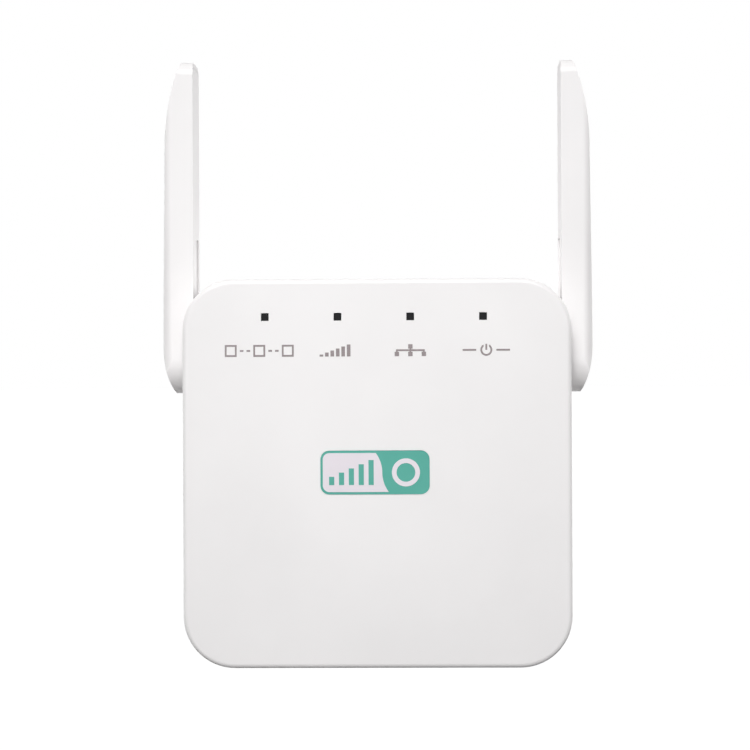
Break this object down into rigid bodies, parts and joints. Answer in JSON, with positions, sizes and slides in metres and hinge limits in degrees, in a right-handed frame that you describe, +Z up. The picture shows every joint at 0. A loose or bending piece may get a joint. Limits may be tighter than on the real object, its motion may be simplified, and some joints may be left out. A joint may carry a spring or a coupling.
{
  "type": "wifi range extender",
  "caption": "Square white plug-in wifi range extender with two flat antennas that fold down beside its body, status lights, a network socket, a push button and a two-pin mains plug.",
  "frame": {"origin": "midway between the two plug pins, on the face of the plug neck that meets the wall socket", "axes": "+Z up along the raised antennas, +Y out of the plug face into the wall, -Y the side with the status lights, +X to the right seen from the front"},
  "size_m": [0.0844, 0.0667, 0.1183],
  "materials": {
    "white_plastic": "fine satin texture",
    "smoked_guide": "smoked, clear",
    "black_plastic": "matte",
    "led_lens": "clear",
    "grey_ink": "printed",
    "teal_film": "printed film",
    "pale_film": "printed film",
    "green_board": "solder mask",
    "tinned_steel": "tinned",
    "chip_epoxy": "moulded epoxy",
    "tan_ceramic": "fired",
    "grey_plastic": "moulded",
    "gold_plate": "gold plated",
    "nickel_plate": "nickel plated",
    "cable_jacket": "extruded",
    "rubber_ring": "moulded",
    "ivory_sheet": "smooth",
    "tan_board": "bare laminate",
    "ferrite": "sintered",
    "yellow_tape": "wound tape",
    "capacitor_sleeve": "shrunk sleeve",
    "resistor_body": "lacquered",
    "blue_ceramic": "dipped",
    "label_film": "blank film"
  },
  "bodies": {
    "case": {"front_cover": "white_plastic", "rear_cover": "white_plastic", "light_guide": "smoked_guide", "light_baffle": "black_plastic", "status_leds": "led_lens", "status_labels": "grey_ink", "badge_plate": "teal_film", "badge_panel": "pale_film", "badge_bars": "teal_film", "main_board": "green_board", "shield_can": "tinned_steel", "radio_chip": "chip_epoxy", "memory_chips": "chip_epoxy", "crystal_can": "tinned_steel", "chip_capacitors": "tan_ceramic", "lan_transformer": "chip_epoxy", "network_shell": "tinned_steel", "network_insert": "grey_plastic", "network_contacts": "gold_plate", "button_switch": "tinned_steel", "coax_sockets": "gold_plate", "coax_plugs": "nickel_plate", "left_coax_lead": "cable_jacket", "right_coax_lead": "cable_jacket", "hinge_rings": "rubber_ring", "insulating_sheet": "ivory_sheet", "power_board": "tan_board", "transformer_core": "ferrite", "transformer_bobbin": "black_plastic", "transformer_winding": "yellow_tape", "input_capacitors": "capacitor_sleeve", "output_capacitor": "capacitor_sleeve", "choke_coil": "ferrite", "fuse_resistor": "resistor_body", "bridge_rectifier": "chip_epoxy", "driver_chip": "chip_epoxy", "safety_capacitor": "blue_ceramic", "output_diode": "chip_epoxy", "header_block": "black_plastic", "header_pins": "gold_plate", "plug_block": "white_plastic", "plug_pins": "nickel_plate", "pin_sleeves": "grey_plastic", "board_screws": "nickel_plate", "case_screws": "nickel_plate", "rating_label": "label_film"},
    "left_antenna": {"left_antenna_shell": "white_plastic", "left_antenna_lid": "white_plastic", "left_antenna_element": "tan_board", "left_coax_tail": "cable_jacket", "left_hinge_clip": "tinned_steel"},
    "right_antenna": {"right_antenna_shell": "white_plastic", "right_antenna_lid": "white_plastic", "right_antenna_element": "tan_board", "right_coax_tail": "cable_jacket", "right_hinge_clip": "tinned_steel"},
    "push_button": {"button_cap": "white_plastic", "button_plunger": "black_plastic"}
  },
  "joints": [
    {"name": "left_antenna_swivel", "type": "hinge", "parent": "case", "child": "left_antenna", "pos_m": [-0.0362, -0.0325, 0.022], "axis": [-1, 0, 0], "range_deg": [0, 180]},
    {"name": "right_antenna_swivel", "type": "hinge", "parent": "case", "child": "right_antenna", "pos_m": [0.0362, -0.0325, 0.022], "axis": [-1, 0, 0], "range_deg": [0, 180]},
    {"name": "push_button_press", "type": "slide", "parent": "case", "child": "push_button", "axis": [0, 0, 1], "range_m": [0, 0.0005], "stiffness_N_per_m": 1500, "springref_m": -0.0004}
  ]
}
